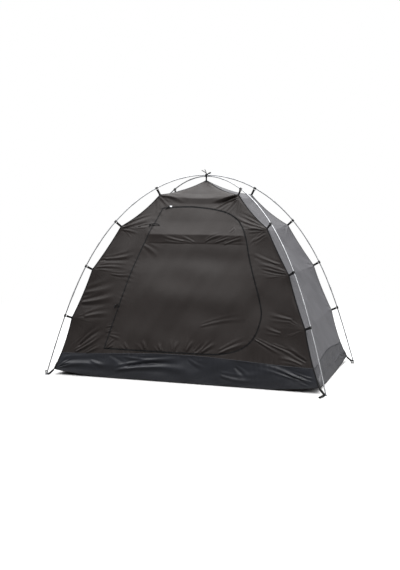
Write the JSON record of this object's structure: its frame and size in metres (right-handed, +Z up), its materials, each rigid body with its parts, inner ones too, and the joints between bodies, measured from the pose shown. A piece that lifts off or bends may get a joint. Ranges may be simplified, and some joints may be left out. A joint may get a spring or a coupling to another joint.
{
  "type": "four-season tent inner on clip poles",
  "caption": "Dome tent inner with a zipped side-hinged door and a waterproof tub floor, hung by webbing clips from two crossing bent poles.",
  "frame": {"origin": "on the ground under the crossing of the poles, on the underside of the floor", "axes": "+X along the long side, +Y from the door side to the back, +Z up"},
  "size_m": [2.3084, 1.4914, 1.6253],
  "materials": {
    "wall_fabric": "charcoal-brown woven polyester with a satin sheen",
    "side_fabric": "mid-grey woven polyester with a satin sheen",
    "tub_fabric": "dark blue-grey coated waterproof fabric",
    "tub_side_fabric": "grey coated waterproof fabric",
    "groundsheet": "dark coated groundsheet",
    "pole_tube": "satin silver tube with ferrules",
    "foot_ring": "plated steel wire",
    "zip_slider": "plated slider with a dark pull",
    "zip_tape": "black woven zip tape",
    "toggle_plastic": "black moulded plastic",
    "webbing": "black woven webbing and hooks"
  },
  "bodies": {
    "tent": {"apex_cord_ends": "webbing", "apex_strap": "webbing", "apex_toggle": "toggle_plastic", "back_wall": "wall_fabric", "clip_back_left_1": "webbing", "clip_back_left_2": "webbing", "clip_back_left_3": "webbing", "clip_back_left_4": "webbing", "clip_back_right_1": "webbing", "clip_back_right_2": "webbing", "clip_back_right_3": "webbing", "clip_back_right_4": "webbing", "clip_front_left_1": "webbing", "clip_front_left_2": "webbing", "clip_front_left_3": "webbing", "clip_front_left_4": "webbing", "clip_front_right_1": "webbing", "clip_front_right_2": "webbing", "clip_front_right_3": "webbing", "clip_front_right_4": "webbing", "corner_strap_back_left": "webbing", "corner_strap_back_right": "webbing", "corner_strap_front_left": "webbing", "corner_strap_front_right": "webbing", "door_zip": "zip_tape", "floor": "groundsheet", "foot_ring_back_left": "foot_ring", "foot_ring_back_right": "foot_ring", "foot_ring_front_left": "foot_ring", "foot_ring_front_right": "foot_ring", "front_wall": "wall_fabric", "left_wall": "side_fabric", "peg_loop_back_left": "webbing", "peg_loop_back_right": "webbing", "peg_loop_front_left": "webbing", "peg_loop_front_right": "webbing", "pole_front_left_to_back_right": "pole_tube", "pole_front_right_to_back_left": "pole_tube", "right_wall": "side_fabric", "roof_back": "wall_fabric", "roof_front": "wall_fabric", "roof_left": "side_fabric", "roof_right": "side_fabric", "toggle_lower": "toggle_plastic", "toggle_upper": "toggle_plastic", "tub_back": "tub_fabric", "tub_front": "tub_fabric", "tub_left": "tub_side_fabric", "tub_right": "tub_side_fabric", "zip_slider": "zip_slider"},
    "door": {"door": "wall_fabric"}
  },
  "joints": [
    {"name": "door_hinge", "type": "hinge", "parent": "tent", "child": "door", "pos_m": [-0.65963, -0.66281, 0.24882], "axis": [-0.2974, -0.3081, -0.9037], "range_deg": [0, 150]}
  ]
}
